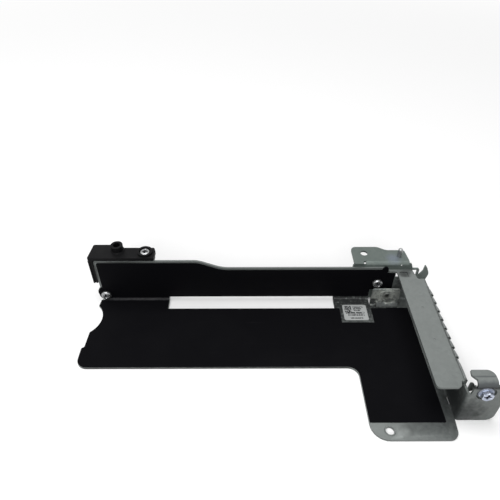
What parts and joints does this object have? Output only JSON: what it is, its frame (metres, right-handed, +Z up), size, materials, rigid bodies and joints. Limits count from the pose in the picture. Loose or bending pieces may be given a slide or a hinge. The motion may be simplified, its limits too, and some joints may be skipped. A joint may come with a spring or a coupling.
{
  "type": "riser cage bracket",
  "caption": "Folded steel riser cage with an insulated tray, card window, end plate, rear bracket and plastic corner guide, for a low-profile expansion card.",
  "frame": {"origin": "under the middle of the part's box, on the plane that the tray's floor stands on", "axes": "+X along the cage towards the I/O wall, +Y from the open front towards the rear wall, +Z up from the floor"},
  "size_m": [0.2242, 0.1138, 0.0403],
  "materials": {
    "galvanised_sheet": "galvanised sheet, satin, faintly mottled",
    "black_film": "matt black insulating film",
    "label_paper": "matt printed label",
    "rivet_steel": "zinc plated",
    "bright_steel": "turned, bright",
    "spring_steel": "thin spring strip, satin",
    "black_plastic": "moulded, fine grain",
    "screw_steel": "zinc plated",
    "zinc_screw": "bluish zinc plated"
  },
  "bodies": {
    "root": {"tray": "galvanised_sheet", "insulator_film": "black_film", "label": "label_paper", "rear_bracket": "galvanised_sheet", "bracket_rivet_left": "rivet_steel", "bracket_rivet_middle": "rivet_steel", "bracket_rivet_right": "rivet_steel", "guide_pin": "bright_steel", "contact_strip": "spring_steel", "corner_guide": "black_plastic", "guide_screw": "screw_steel", "guide_nut": "rivet_steel", "board_screw_left": "screw_steel", "board_screw_right": "screw_steel", "board_nut_left": "rivet_steel", "board_nut_right": "rivet_steel", "slot_screw": "zinc_screw", "slot_nut": "rivet_steel"}
  },
  "joints": []
}
